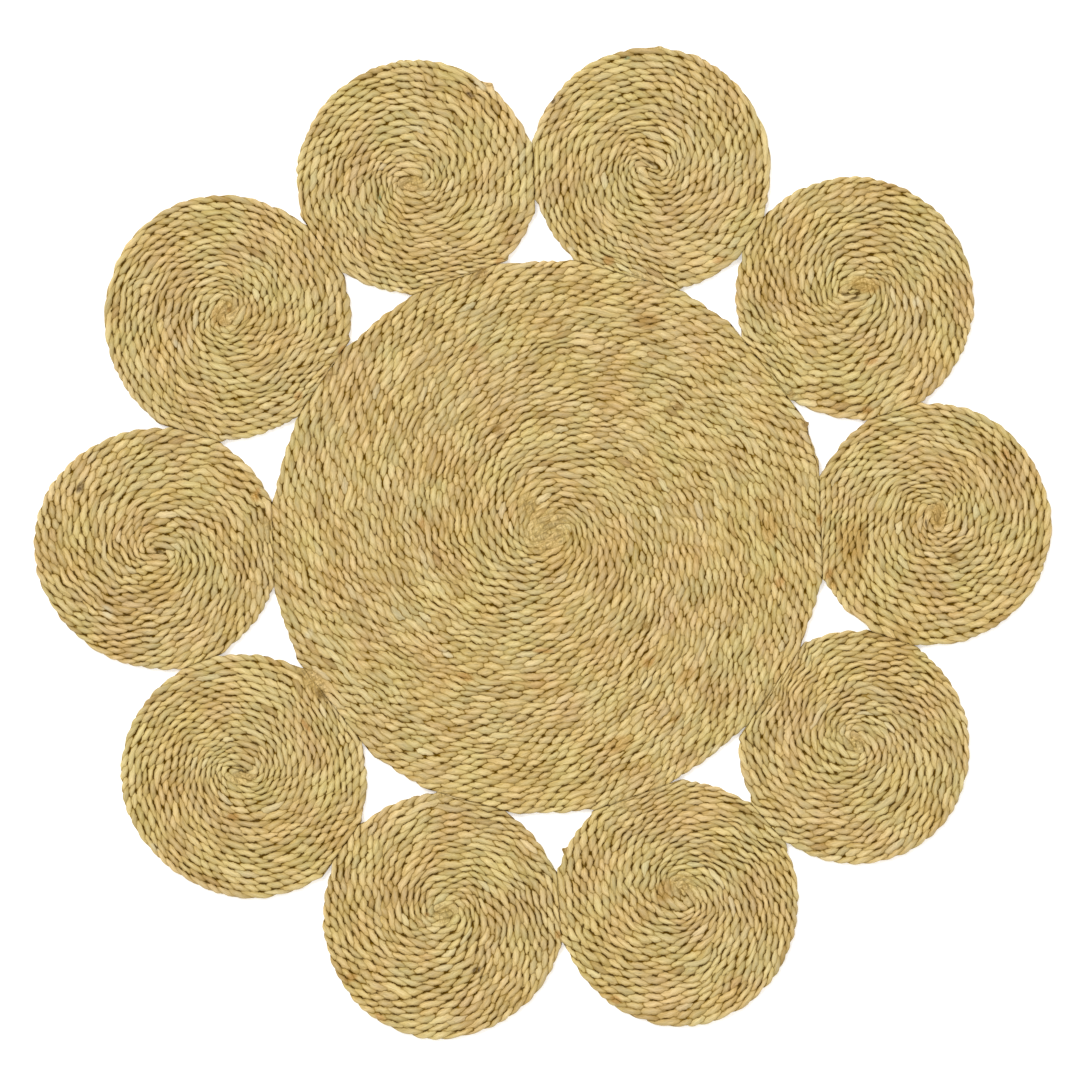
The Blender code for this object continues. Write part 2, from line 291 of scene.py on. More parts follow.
class Cord:
    """One coil's cord: how it winds, and how its twist lies."""

    def __init__(self, coil, number):
        self.coil = coil
        self.joins = joins_of(coil)
        self.turns = round(coil.radius / TURN_PITCH)
        self.last = self.turns - 1
        self.pitch = coil.radius / self.turns
        self.start = math.radians(coil.end_angle)
        self.random = np.random.default_rng(FIRST_SEED + number)
        self.twist = self.wind_twist()
        heading = self.random.uniform(0, TAU, WANDER_WAVES)
        length = self.random.uniform(WANDER_SHORTEST, WANDER_LONGEST, WANDER_WAVES)
        self.waves = TAU * np.stack([np.cos(heading), np.sin(heading)], axis=1) / length[:, None]
        self.wave_starts = self.random.uniform(0, TAU, (2, WANDER_WAVES))

    def wind_twist(self):
        """Counts the lumps along the cord. Each turn slides a little to nestle into the last."""
        count = (self.turns + SPARE_TURNS) * TWIST_STEPS
        length = TAU * self.pitch * (self.turns + SPARE_TURNS) ** 2 / 2
        grit = self.random.normal(size=int(length / GRIT_STEP) + TWIST_STEPS)
        grit = np.convolve(grit, (0.25, 0.5, 0.25), "same")
        grit *= self.coil.twist.grit / grit.std()
        lumps = np.zeros(count)
        along = 0.0
        for step in range(1, count):
            radius = max(step / TWIST_STEPS, TIGHTEST) * self.pitch
            stride = TAU * radius / TWIST_STEPS
            along += stride
            pull = 0.0
            if step >= TWIST_STEPS:
                last_turn = lumps[step - TWIST_STEPS]
                pull = self.coil.twist.nestle * math.sin(TAU * (last_turn + 0.5 - lumps[step - 1]))
            uneven = grit[int(along / GRIT_STEP) % len(grit)]
            tight = EYE_TIGHT * math.exp(-(radius / EYE_REACH) ** 2)
            lumps[step] = lumps[step - 1] + stride / LUMP_LENGTH * (1 + pull + uneven + tight)
        return lumps

    def lumps_at(self, turn):
        """How many lumps lie between the eye and this turn and part of a turn."""
        place = np.clip(turn * TWIST_STEPS, 0, len(self.twist) - 1.001)
        before = place.astype(int)
        share = place - before
        return self.twist[before] * (1 - share) + self.twist[before + 1] * share

    def thinning(self, row, part):
        """1 where the cord is whole, down to 0 at its outer end."""
        return np.where(row == self.last, np.clip((1 - part) / TAPER, 0, 1), 1.0)

    def out_to(self, row, across, part):
        """How far a point of a turn lies from the eye, before the coil is pressed to its shape."""
        wide = (across + 0.5) * self.thinning(row, part)
        return np.maximum((row + part - 0.5 + wide) * self.pitch, 0)

    def pressed(self, part):
        """1 where the rim is pressed flat against another coil, 0 where it is free."""
        return outline(self.coil, self.joins, self.start + TAU * part)[1]

    def tuck(self, part):
        """How far the rim's top lies over a neighbour, below 0 where it lies under it."""
        return outline(self.coil, self.joins, self.start + TAU * part)[2]

    def wander(self, x, y, share):
        """How far the turns stray at a point, least at the eye and at the rim."""
        calm = np.clip(WANDER_FROM_EYE * share, 0, 1)
        calm = calm * np.clip(WANDER_FROM_RIM * (1 - share), 0, 1)
        turned = np.stack([x, y], axis=1) @ self.waves.T
        stray = [np.sin(turned + starts).sum(axis=1) for starts in self.wave_starts]
        reach = WANDER * calm * math.sqrt(2 / WANDER_WAVES)
        return x + reach * stray[0], y + reach * stray[1]

    def place(self, row, across, part, inset):
        """A point of the coil from above, in millimetres."""
        out = self.out_to(row, across, part)
        rim = self.out_to(self.last, 0.5, part)
        share = out / rim
        angle = self.start + TAU * part
        edge, _, _ = outline(self.coil, self.joins, angle)
        radius = out + share ** UNEVEN_FADE * (edge - rim) - inset
        fold_angle = math.radians(self.coil.fold_angle)
        folded = np.tanh(FOLD_SHARP * out / self.pitch * np.cos(angle - fold_angle))
        folded = self.coil.fold * folded * np.exp(-(out / FOLD_REACH) ** 2)
        x = self.coil.x + (1 - share) * self.coil.eye_x + radius * np.cos(angle)
        y = self.coil.y + (1 - share) * self.coil.eye_y + radius * np.sin(angle)
        x = x + folded * math.cos(fold_angle)
        y = y + folded * math.sin(fold_angle)
        return self.wander(x, y, share)


# The twist's lumps


def dealt(number, deal, start=0.0):
    """A share from 0 to 1 for each whole number. The jute material deals it alike."""
    step, bend, slope = deal
    first = np.mod(number * step + start, 1.0)
    return np.mod(first * first * bend + first * slope, 1.0)


def lump_size(lump):
    """How big a lump is beside the others."""
    return 1 + LUMP_UNEVEN * (2 * dealt(lump, SIZE_DEAL) - 1)


def edge_run(across):
    """How far along the cord an edge between two lumps has run at a place across it, in lumps.

    The edge winds round the cord, so it runs almost along it at both of its sides.
    """
    return np.arcsin(EDGE_ROUND * np.clip(2 * across, -1, 1)) / (2 * math.asin(EDGE_ROUND))


def slanted_lumps(cord, row, across, part, lean, beside):
    """The lumps' count in the turn beside this one, carried over to here along their edges."""
    return cord.lumps_at(row + beside + part) - lean * edge_run(across - beside)


def drop_of(cord, row, across, part):
    """How far off its turn's middle a point counts as. A free rim is as round as the top."""
    if row != cord.last:
        return across + 0 * part
    pressed = cord.pressed(part)
    return np.minimum(across, 0) * (1 - pressed) + across * pressed


def free_rim(cord, row, part):
    """1 in the outermost turn, less where another coil lies against it."""
    return 1 - cord.pressed(part) if row == cord.last else 0 * part


def pit_at(place, drop):
    """How deep in a pit a point is, up to 1. Pits lie where two lumps meet at a turn's edge."""
    depth = dealt(np.floor(place), PIT_DEAL, (drop > 0) * PIT_DEAL_ASIDE)
    away = ((np.mod(place, 1.0) - 0.5) / PIT_LONG) ** 2
    away = away + ((np.abs(drop) - 0.5) / PIT_WIDE) ** 2
    return np.clip(1 - away, 0, 1) * depth


def lump_rise(cord, row, across, part, lean):
    """How far the cord rises at a point, from 0 in the pits to 1 on the tops of the lumps."""
    drop = drop_of(cord, row, across, part)
    opened = free_rim(cord, row, part)
    best = np.zeros(np.shape(part))
    pit = np.zeros(np.shape(part))
    for beside in (-1, 0, 1):
        place = slanted_lumps(cord, row, across, part, lean, beside)
        lump = np.round(place)
        along_drop = cord.coil.twist.along_drop * (2 * (place - lump)) ** 2
        across_drop = cord.coil.twist.across_drop * (2 * (drop - beside)) ** 2
        rise = 1 - (along_drop + across_drop) / lump_size(lump)
        if beside == 1:
            rise = rise - BEYOND_RIM * opened
        best = np.maximum(best, rise)
        pit = np.maximum(pit, pit_at(place, drop - beside))
    return np.maximum(best - PIT_DEPTH * pit, 0) ** LUMP_POWER


def mean_rise(cord, row, across, part, lean, line_width, step):
    """The rise as far as lines this wide apart can hold it."""
    around = TAU * max((row + 0.5) * cord.pitch, EYE_RADIUS)
    aside = SPREAD * line_width
    ahead = SPREAD * step / around
    spots = ((0, 0), (aside, ahead), (aside, -ahead), (-aside, ahead), (-aside, -ahead))
    rises = [lump_rise(cord, row, across + x, part + y, lean) for x, y in spots]
    return sum(rises) / len(rises)


def marks_at(x, y):
    """The marks round here, with how strongly each shows at the points and how far off they are."""
    for look, marks in MARKS.items():
        for mark_x, mark_y, long, wide, angle in marks:
            far = long + wide
            if np.min(np.abs(x - mark_x)) > far or np.min(np.abs(y - mark_y)) > far:
                continue
            turn = math.radians(angle)
            ahead = (x - mark_x) * math.cos(turn) + (y - mark_y) * math.sin(turn)
            aside = (y - mark_y) * math.cos(turn) - (x - mark_x) * math.sin(turn)
            away = np.hypot(ahead / long, aside / wide)
            share = np.clip((MARK_EDGE - away) / MARK_SOFT, 0, 1)
            yield look, share * share * (3 - 2 * share), away


def marked_height(cord, row, part, x, y, z):
    """Knots stand up as round humps, and slits are cut in."""
    held = 1 - free_rim(cord, row, part)
    for look, share, away in marks_at(x, y):
        dome = np.sqrt(np.clip(1 - away ** 2, 0, 1))
        hump = HUMP_FOOT_Z + (CROWN_Z + look.rise - HUMP_FOOT_Z) * dome
        z = z + share * held * look.calm * (hump - z)
        z = z + share * held * min(look.rise, 0.0)
    return z


def rim_inset(cord, across, part, lean):
    """How far a free rim draws in at the ends of its lumps, in millimetres."""
    place = slanted_lumps(cord, cord.last, across, part, lean, 0)
    lump = np.round(place)
    small = 1 - lump_size(lump)
    drawn = (2 * np.abs(place - lump)) ** RIM_POWER * RIM_BUMP + small * RIM_UNEVEN
    inset = np.maximum(drawn, -RIM_OUT_MOST) * (1 - cord.pressed(part))
    for nub in NUBS:
        if nub.node == cord.coil.node:
            off = cord.start + TAU * part - math.radians(nub.angle)
            off = np.mod(off + math.pi, TAU) - math.pi
            inset = inset - nub.out * np.exp(-(off * cord.coil.radius / nub.wide) ** 2)
    return inset


# The skin over the cord


class Skin:
    """The lines and triangles of one coil, with what the jute material reads at each corner."""

    def __init__(self):
        self.places = []
        self.parts = []
        self.levels = []
        self.weld = []
        self.count = 0
        self.triangles = []
        self.rows = []
        self.leans = []

    def add_line(self, x, y, z, part, level):
        """A line once round, from part 0 to 1 of a turn. level is where it lies, in turns."""
        first = self.count
        self.places.append(np.stack([x, y, z + 0 * x], axis=1))
        self.parts.append(part)
        self.levels.append(np.full(len(part), float(level)))
        self.weld.append(np.arange(first, first + len(part)))
        self.count += len(part)
        return first, part

    def add_strip(self, inner, outer, shift, row, lean, flip):
        """Triangles between two lines, which slant ahead by shift, a part of a turn."""
        (first_inner, inner_parts), (first_outer, outer_parts) = inner, outer
        inner_middles = (inner_parts[:-1] + inner_parts[1:]) / 2
        outer_middles = (outer_parts[:-1] + outer_parts[1:]) / 2 - shift
        steps = first_inner + np.arange(len(inner_middles))
        tips = first_outer + np.searchsorted(outer_middles, inner_middles)
        outward = np.stack([steps, tips, steps + 1], axis=1)
        steps = first_outer + np.arange(len(outer_middles))
        tips = first_inner + np.searchsorted(inner_middles, outer_middles, side="right")
        inward = np.stack([steps, steps + 1, tips], axis=1)
        made = np.concatenate([outward, inward])
        if flip:
            made = made[:, ::-1]
        self.triangles.append(made)
        self.rows.append(np.full(len(made), row))
        self.leans.append(np.full(len(made), float(lean)))


def line_parts(radius, step):
    count = max(8, round(TAU * radius / step))
    return np.linspace(0.0, 1.0, count + 1)


def add_side(skin, cord, side, lines_per_turn, step):
    """The top or the sole of a coil, line by line from the eye out. Returns the outermost."""
    lean = cord.coil.twist.lean * side
    relief = TOP_RELIEF if side > 0 else SOLE_RELIEF
    line_width = 1 / lines_per_turn
    end = cord.turns * lines_per_turn
    # The first line lies wholly at the eye
    start = -(lines_per_turn // 2)
    lines = {}
    for line in range(start, end + 1):
        row = min(line // lines_per_turn, cord.last)
        level = line / lines_per_turn - 0.5
        across = level - row
        part = line_parts(max((level + 1) * cord.pitch, EYE_LINE), step)
        low = 1 - mean_rise(cord, row, across, part, lean, line_width, step)
        thick = TAIL_THICK + (1 - TAIL_THICK) * np.sqrt(cord.thinning(row, part))
        half = (MIDDLE_Z - relief * low) * thick
        inset = 0 * part
        if row == cord.last and across > 0:
            free = 1 - cord.pressed(part)
            sine = min(2 * across, RIM_SINE) * free
            half = half * np.sqrt(1 - sine * sine)
            inset = rim_inset(cord, across, part, lean) * sine
            inset = inset + (across * free - sine / 2) * cord.pitch
            inset = inset - side * 2 * across * cord.tuck(part)
        x, y = cord.place(row, across, part, inset)
        z = MIDDLE_Z + side * half
        if side > 0:
            z = marked_height(cord, row, part, x, y, z)
        lines[line] = skin.add_line(x, y, z, part, level)
        # What has wound back past the eye is one point
        skin.weld[-1][cord.out_to(row, across, part) <= 0] = lines[start][0]
    welds = skin.weld[-len(lines):]
    for line in range(start, end + 1):
        # A line runs on into the one that lies a turn further out, and the last ones into the rim
        onto = min(line + lines_per_turn, end)
        welds[line - start][-1] = lines[onto][0]
    for line in range(start, end):
        out = max((line + 1) * line_width * cord.pitch, EYE_RADIUS)
        row = line // lines_per_turn
        across = line * line_width - 0.5 - row
        run = edge_run(across + line_width) - edge_run(across)
        shift = lean * run * LUMP_LENGTH / (TAU * out)
        skin.add_strip(lines[line], lines[line + 1], shift, row, lean, side < 0)
    return lines[end]


def skin_of(cord, fineness):
    """Top, sole and rounded rim of one coil."""
    skin = Skin()
    lean = cord.coil.twist.lean
    top = add_side(skin, cord, 1, fineness.top_lines, fineness.top_step)
    sole = add_side(skin, cord, -1, fineness.sole_lines, fineness.sole_step)
    part = line_parts(cord.coil.radius, fineness.rim_step)
    inset = rim_inset(cord, RIM_ACROSS, part, lean)
    x, y = cord.place(cord.last, 0.5, part, inset)
    widest = skin.add_line(x, y, MIDDLE_Z, part, cord.last + RIM_ACROSS)
    skin.weld[-1][-1] = widest[0]
    skin.add_strip(top, widest, 0, cord.last, lean, False)
    skin.add_strip(widest, sole, 0, cord.last, lean, False)
    return skin


def marks_of(places):
    """The marks' colour, weighted by its fourth number, and how far they hide the lumps."""
    tint = np.zeros((len(places), 4))
    calm = np.zeros(len(places))
    above = places[:, 2] > MIDDLE_Z / 2
    for look, share, _ in marks_at(places[:, 0], places[:, 1]):
        share = share * above
        colour = np.array(look.colour + (1.0,))
        tint += (share * look.strength)[:, None] * (colour - tint)
        calm += share * (look.calm - calm) * (look.calm > 0)
    return tint, calm


# The square that the skin is laid out on for its textures: room round a coil, the height under
# which the rim is folded out, and the space round each of its two discs
LAYOUT_ROOM = 5
LAYOUT_RIM_Z = 2.8
LAYOUT_SPACE = 1.01


def layout_places(cord, places, levels, soles):
    """Two discs across a square: the top with the rim folded out, and the sole."""
    reach = cord.coil.radius + LAYOUT_ROOM
    x = places[:, 0] - cord.coil.x
    y = places[:, 1] - cord.coil.y
    out = np.hypot(x, y) + 1e-9
    rim = (levels > cord.last + 0.2) & ~soles
    folded = 1 + np.where(rim, np.maximum(LAYOUT_RIM_Z - places[:, 2], 0), 0) / out
    half = math.sqrt(0.5) / (1 + math.sqrt(2)) / LAYOUT_SPACE
    centre = np.where(soles, 1 - half * LAYOUT_SPACE, half * LAYOUT_SPACE)
    scale = folded / reach * half
    return np.stack([centre + x * scale, centre + y * scale], axis=1)


def build_skin(name, cord, fineness, material):
    skin = skin_of(cord, fineness)
    places = np.concatenate(skin.places)
    weld = np.concatenate(skin.weld)
    weld = weld[weld]
    corners = np.concatenate(skin.triangles)
    rows = np.concatenate(skin.rows)
    leans = np.concatenate(skin.leans)
    joined = weld[corners]
    whole = (
        (joined[:, 0] != joined[:, 1])
        & (joined[:, 1] != joined[:, 2])
        & (joined[:, 2] != joined[:, 0])
    )
    corners, joined, rows, leans = corners[whole], joined[whole], rows[whole], leans[whole]
    used, index = np.unique(joined, return_inverse=True)

    mesh = bpy.data.meshes.new(name)
    mesh.vertices.add(len(used))
    mesh.vertices.foreach_set("co", (places[used] * MM).astype(np.float32).ravel())
    mesh.loops.add(index.size)
    mesh.loops.foreach_set("vertex_index", index.astype(np.int32).ravel())
    mesh.polygons.add(len(joined))
    mesh.polygons.foreach_set("loop_start", np.arange(0, index.size, 3, dtype=np.int32))
    mesh.update(calc_edges=True)

    flat = corners.ravel()
    row = np.repeat(rows, 3)
    lean = np.repeat(leans, 3)
    part = np.concatenate(skin.parts)[flat]
    levels = np.concatenate(skin.levels)
    across = levels[flat] - row
    lumps = [cord.lumps_at(row + beside + part) for beside in (-1, 0, 1)]
    outermost = row == cord.last
    pressed = np.where(outermost, cord.pressed(part), 1.0)
    drop = np.minimum(across, 0) * (1 - pressed) + across * pressed
    drop = np.where(outermost, drop, across)
    place = [drop, across, 1 - pressed]
    tint, calm = marks_of(places[used])
    for label, kind, domain, field, values in (
        ("cord_lumps", "FLOAT_VECTOR", "CORNER", "vector", np.stack(lumps, axis=1)),
        ("cord_place", "FLOAT_VECTOR", "CORNER", "vector", np.stack(place, axis=1)),
        ("cord_lean", "FLOAT", "CORNER", "value", lean),
        ("cord_marks", "FLOAT_COLOR", "POINT", "color", tint),
        ("cord_calm", "FLOAT", "POINT", "value", calm),
    ):
        attribute = mesh.attributes.new(label, kind, domain)
        attribute.data.foreach_set(field, values.astype(np.float32).ravel())

    soles = lean * cord.coil.twist.lean < 0
    uv = mesh.uv_layers.new(name="OFBake")
    at = layout_places(cord, places[flat], levels[flat], soles)
    uv.data.foreach_set("uv", at.astype(np.float32).ravel())

    mesh.materials.append(material)
    mesh.shade_smooth()
    mesh.validate()
    piece = bpy.data.objects.new(name, mesh)
    bpy.context.scene.collection.objects.link(piece)
    return piece


# The jute


class Value:
    """A number, colour or place in a material. Arithmetic adds the nodes that work it out."""

    def __init__(self, tree, socket):
        self.tree = tree
        self.socket = socket

    def figure(self, operation, *others, clamp=False):
        return figure(self.tree, operation, self, *others, clamp=clamp)

    def __add__(self, other):
        return self.figure("ADD", other)

    def __sub__(self, other):
        return self.figure("SUBTRACT", other)

    def __rsub__(self, other):
        return figure(self.tree, "SUBTRACT", other, self)

    def __mul__(self, other):
        return self.figure("MULTIPLY", other)

    def __truediv__(self, other):
        return self.figure("DIVIDE", other)

    def __rtruediv__(self, other):
        return figure(self.tree, "DIVIDE", other, self)

    def __pow__(self, power):
        return self.figure("POWER", power)

    def __abs__(self):
        return self.figure("ABSOLUTE")

    def times(self, factor, plus):
        return self.figure("MULTIPLY_ADD", factor, plus)

    def at_least(self, other):
        return self.figure("MAXIMUM", other)

    def at_most(self, other):
        return self.figure("MINIMUM", other)

    def above(self, other):
        return self.figure("GREATER_THAN", other)

    def ramp(self, low, high, to_low=0.0, to_high=1.0):
        """Runs evenly from to_low to to_high while this runs from low to high."""
        ends = {"From Min": low, "From Max": high, "To Min": to_low, "To Max": to_high}
        return new_value(
            self.tree, "ShaderNodeMapRange", "Result", {"Value": self, **ends}, clamp=True
        )

    def split(self):
        made = node(self.tree, "ShaderNodeSeparateXYZ")
        fill(made.inputs[0], self)
        return [Value(self.tree, socket) for socket in made.outputs]


def node(tree, kind, **settings):
    made = tree.nodes.new(kind)
    for name, value in settings.items():
        setattr(made, name, value)
    return made


def fill(socket, value):
    """Links a socket, or sets its number or colour."""
    if isinstance(value, Value):
        value.tree.links.new(value.socket, socket)
    else:
        socket.default_value = value


def figure(tree, operation, *values, clamp=False):
    made = node(tree, "ShaderNodeMath", operation=operation, use_clamp=clamp)
    for socket, value in zip(made.inputs, values):
        fill(socket, value)
    return Value(tree, made.outputs[0])


def new_value(tree, kind, output, inputs=(), **settings):
    """An output of a new node whose inputs are filled by name."""
    made = node(tree, kind, **settings)
    for name, value in dict(inputs).items():
        fill(made.inputs[name], value)
    return Value(tree, made.outputs[output])


def mixed(tree, share, first, second, kind="RGBA", blend="MIX"):
    inputs = {"Factor": share, "A": first, "B": second}
    return new_value(tree, "ShaderNodeMix", "Result", inputs, data_type=kind, blend_type=blend)


def scaled(place, factor):
    inputs = {0: place, "Scale": factor}
    return new_value(place.tree, "ShaderNodeVectorMath", "Vector", inputs, operation="SCALE")


def joined(x, y, z):
    return new_value(x.tree, "ShaderNodeCombineXYZ", "Vector", {"X": x, "Y": y, "Z": z})


def attribute(tree, name, output):
    return new_value(tree, "ShaderNodeAttribute", output, attribute_name=name)


def object_place(tree):
    return new_value(tree, "ShaderNodeTexCoord", "Object")


def noise(place, scale, detail, **more):
    """A noise's number, and its colour."""
    made = node(place.tree, "ShaderNodeTexNoise")
    for name, value in {"Vector": place, "Scale": scale, "Detail": detail, **more}.items():
        fill(made.inputs[name], value)
    return [Value(place.tree, made.outputs[name]) for name in ("Fac", "Color")]


def start_group(name, inputs):
    """A new group, and then the numbers that it is given."""
    tree = bpy.data.node_groups.new(name, "ShaderNodeTree")
    for label in inputs:
        tree.interface.new_socket(label, in_out="INPUT", socket_type="NodeSocketFloat")
    given = node(tree, "NodeGroupInput").outputs
    return [tree] + [Value(tree, given[label]) for label in inputs]


def end_group(tree, values):
    """The group with its outputs, which are numbers, and one colour that is named so."""
    for label in values:
        kind = "NodeSocketColor" if label == "Colour" else "NodeSocketFloat"
        tree.interface.new_socket(label, in_out="OUTPUT", socket_type=kind)
    out = node(tree, "NodeGroupOutput").inputs
    for label, value in values.items():
        fill(out[label], value)
    return tree


def place_group(tree, group, **values):
    """A group's outputs, by name."""
    made = node(tree, "ShaderNodeGroup", node_tree=group)
    for label, value in values.items():
        fill(made.inputs[label.replace("_", " ").capitalize()], value)
    return {socket.name: Value(tree, socket) for socket in made.outputs}


def dealt_value(number, deal, start=0.0):
    """The same share as dealt gives."""
    step, bend, slope = deal
    first = number.times(step, plus=start).figure("FRACT")
    return (first.times(bend, plus=slope) * first).figure("FRACT")


def lump_group():
    """One turn's nearest lump: how far it rises here, which one it is and where on it this is."""
    tree, count, drop, across, lean, along_drop, across_drop = start_group(
        "lump_of_one_turn", ["Lumps", "Drop", "Across", "Lean", "Along drop", "Across drop"]
    )
    side = (across * (2 * EDGE_ROUND)).at_least(-EDGE_ROUND).at_most(EDGE_ROUND)
    run = side.figure("ARCSINE") * (-0.5 / math.asin(EDGE_ROUND))
    lumps = run.times(lean, plus=count)
    lump = (lumps + 0.5).figure("FLOOR")
    along = lumps - lump
    size = dealt_value(lump, SIZE_DEAL).times(2 * LUMP_UNEVEN, plus=1 - LUMP_UNEVEN)
    sideways = drop * 2.0
    sideways = sideways * sideways * across_drop
    here = along * 2.0
    here = (here * here).times(along_drop, plus=sideways) / size
    beyond = abs(along).times(-2.0, plus=2.0)
    beyond = (beyond * beyond).times(along_drop, plus=sideways) / size

    depth = dealt_value(lumps.figure("FLOOR"), PIT_DEAL, drop.above(0.0) * PIT_DEAL_ASIDE)
    beside = lumps.figure("FRACT").times(1 / PIT_LONG, plus=-0.5 / PIT_LONG)
    aside = abs(drop).times(1 / PIT_WIDE, plus=-0.5 / PIT_WIDE)
    away = beside.times(beside, plus=aside * aside)
    return end_group(tree, {
        "Rise": 1.0 - here,
        "Next rise": 1.0 - beyond,
        "Lump": lump,
        "Along": count - lump,
        "Pit": figure(tree, "SUBTRACT", 1.0, away, clamp=True) * depth,
    })


def relief_group(lump_tree):
    """The cord's surface from the attributes of its skin."""
    tree, along_drop, across_drop = start_group("twisted_cord", ["Along drop", "Across drop"])
    counts = attribute(tree, "cord_lumps", "Vector").split()
    drop, aside, opened = attribute(tree, "cord_place", "Vector").split()
    lean = attribute(tree, "cord_lean", "Fac")
    _, ragged = noise(object_place(tree), RAGGED_SCALE, 2.0)
    ahead, sideways, _ = ragged.split()
    ahead = ahead.times(RAGGED_AHEAD, plus=-RAGGED_AHEAD / 2)
    sideways = sideways.times(RAGGED_ASIDE, plus=-RAGGED_ASIDE / 2)
    drop = drop + sideways
    aside = aside + sideways
    turns = []
    pit = 0.0
    for beside, count in zip((-1.0, 0.0, 1.0), counts):
        over = aside - beside
        turn = place_group(
            tree, lump_tree, lumps=count + ahead, drop=drop - beside, across=over, lean=lean,
            along_drop=along_drop, across_drop=across_drop,
        )
        rise, after = turn["Rise"], turn["Next rise"]
        pit = turn["Pit"].at_least(pit)
        if beside > 0:
            rise = opened.times(-BEYOND_RIM, plus=rise)
            after = opened.times(-BEYOND_RIM, plus=after)
        turns.append((rise, after, joined(turn["Lump"], turn["Along"], over)))
    (inner, inner_next, inner_at), (own, own_next, own_at), (outer, outer_next, outer_at) = turns
    higher = inner.at_least(outer)
    best = higher.at_least(own)
    runner_up = higher.at_most(own).at_least(inner.at_most(outer))
    for after in (inner_next, own_next, outer_next):
        runner_up = runner_up.at_least(after)
    at = mixed(tree, outer.above(inner), inner_at, outer_at, kind="VECTOR")
    at = mixed(tree, own.above(higher), at, own_at, kind="VECTOR")
    lump, along, over = at.split()

    # Millimetres along and across the lump's fibres, which lean with the twist
    along = along * LUMP_LENGTH
    over = over * lean.figure("SIGN") * TURN_PITCH
    cosine, sine = math.cos(FIBRE_LEAN), math.sin(FIBRE_LEAN)
    risen = pit.times(-PIT_DEPTH, plus=best).at_least(0.0)
    return end_group(tree, {
        "Height": risen ** LUMP_POWER,
        "Risen": risen,
        "Crevice": best - runner_up,
        "Lump": lump,
        "Along": over.times(sine, plus=along * cosine),
        "Across": over.times(cosine, plus=along * -sine),
    })


# The fibres on a lump, drawn out along it: how fine they are along and across, per millimetre
Fibre = namedtuple("Fibre", "label along across detail")
FIBRES = [Fibre("Streak", 0.16, 2.2, 3.0), Fibre("Hair", 0.45, 7.0, 2.0)]
FIBRE_ROUGHNESS = 0.6
FIBRE_CHANGE = 3.71         # how far apart in the noise two lumps' fibres lie

# Loose fibres over knots and stains: how they lie, in degrees, how they are drawn out, how fine
# they are, per metre, and how crooked
LOOSE_ANGLES = (25, 105)
LOOSE_STRETCH = (3.2, 0.8, 1.0)
LOOSE_SCALE = 1100.0
LOOSE_CROOKED = 0.8


def fibre_group():
    """Fine jute fibres on the lumps."""
    tree, along, across, lump = start_group("jute_fibres", ["Along", "Across", "Lump"])
    drawn = {}
    for fibre in FIBRES:
        place = joined(along * fibre.along, across * fibre.across, lump * FIBRE_CHANGE)
        drawn[fibre.label], _ = noise(place, 1.0, fibre.detail, Roughness=FIBRE_ROUGHNESS)
    return end_group(tree, drawn)


def loose_fibres(here, angle):
    inputs = {"Vector": here, "Rotation": (0, 0, math.radians(angle)), "Scale": LOOSE_STRETCH}
    laid = new_value(here.tree, "ShaderNodeMapping", "Vector", inputs, vector_type="TEXTURE")
    fibres, _ = noise(laid, LOOSE_SCALE, 2.0, Distortion=LOOSE_CROOKED)
    return fibres


JUTE = (0.565, 0.408, 0.144, 1.0)
JUTE_DEEP = (0.445, 0.292, 0.082, 1.0)
JUTE_PALE = (0.700, 0.570, 0.315, 1.0)
JUTE_PINK = (0.670, 0.480, 0.250, 1.0)
JUTE_GREEN = (0.540, 0.440, 0.170, 1.0)
JUTE_RUST = (0.350, 0.195, 0.050, 1.0)
JUTE_CREAM = (0.740, 0.650, 0.420, 1.0)
# Painted shade on the coils' rounded sides
RIM_SHADE = (0.330, 0.225, 0.085, 1.0)
# Painted shade: the colour that the edges between lumps and the lumps' sloping sides are darkened
# to
CREVICE_SHADE = (0.225, 0.120, 0.003, 1.0)
# Painted shade in the pits at the lumps' tips
PIT_SHADE = (0.085, 0.038, 0.000, 1.0)

# What the jute is mixed from, one over the other: what a colour goes by, where on that it begins
# and is whole, and its greatest share
Tone = namedtuple("Tone", "by begins whole most colour")
TONES = [
    Tone("blotch", 0.38, 0.68, 0.62, JUTE_DEEP),
    Tone("stretch", 0.45, 0.75, 0.35, JUTE_PALE),
    Tone("pale", 0.0, 1.0, 1.0, JUTE_PALE),
    Tone("rare", 0.55, 0.95, 0.10, JUTE_PINK),
    Tone("rare", 0.45, 0.05, 0.10, JUTE_GREEN),
    Tone("streak", 0.48, 0.72, 0.60, JUTE_DEEP),
    # The lumps' tops are paler: partly worn fibres, partly a painted highlight
    Tone("top", 0.70, 1.0, 0.40, JUTE_PALE),
    Tone("rare", 0.975, 0.995, 0.45, JUTE_RUST),
    Tone("rare", 0.025, 0.01, 0.28, JUTE_CREAM),
]
PALE_LUMP = 0.18            # the palest lump's share of pale jute,
PALE_COIL = 0.3             # and how much more it is in a wholly pale coil
BLOTCH_SCALE = 60.0         # how fine the blotches over a coil are, per metre
STRETCH_SCALE = 0.11        # how fast the cord's tone changes, per lump

# Noise lies mostly between these two values, and what goes by it between the next ones
SPAN = (0.3, 0.7)
CAST_SPAN = (0.35, 0.65)
CAST_RED = (0.96, 1.04)
CAST_GREEN = (1.015, 0.985)
CAST_BLUE = (0.94, 1.06)
LUMP_LIGHT = (0.85, 1.13)
HAIR_LIGHT = (0.76, 1.20)
STREAK_LIGHT = (0.84, 1.14)
LIT_PALER = (0.93, 1.25, 0.0, 0.26)     # from which light on what is lit gets paler, and how much
HAIR_ROUGHNESS = (0.84, 0.96)

# Fuzz and the marks under it
MATTED_SPAN = (0.25, 0.6)
MARK_SHOWS = (1.15, 0.7)    # a mark is thinner where loose fibres lie over it,
FUZZ_LIGHT = (0.42, 1.24)   # which are also lighter
CALM_HIDES = 0.8            # how far a knot or a fuzzy spot hides the lumps
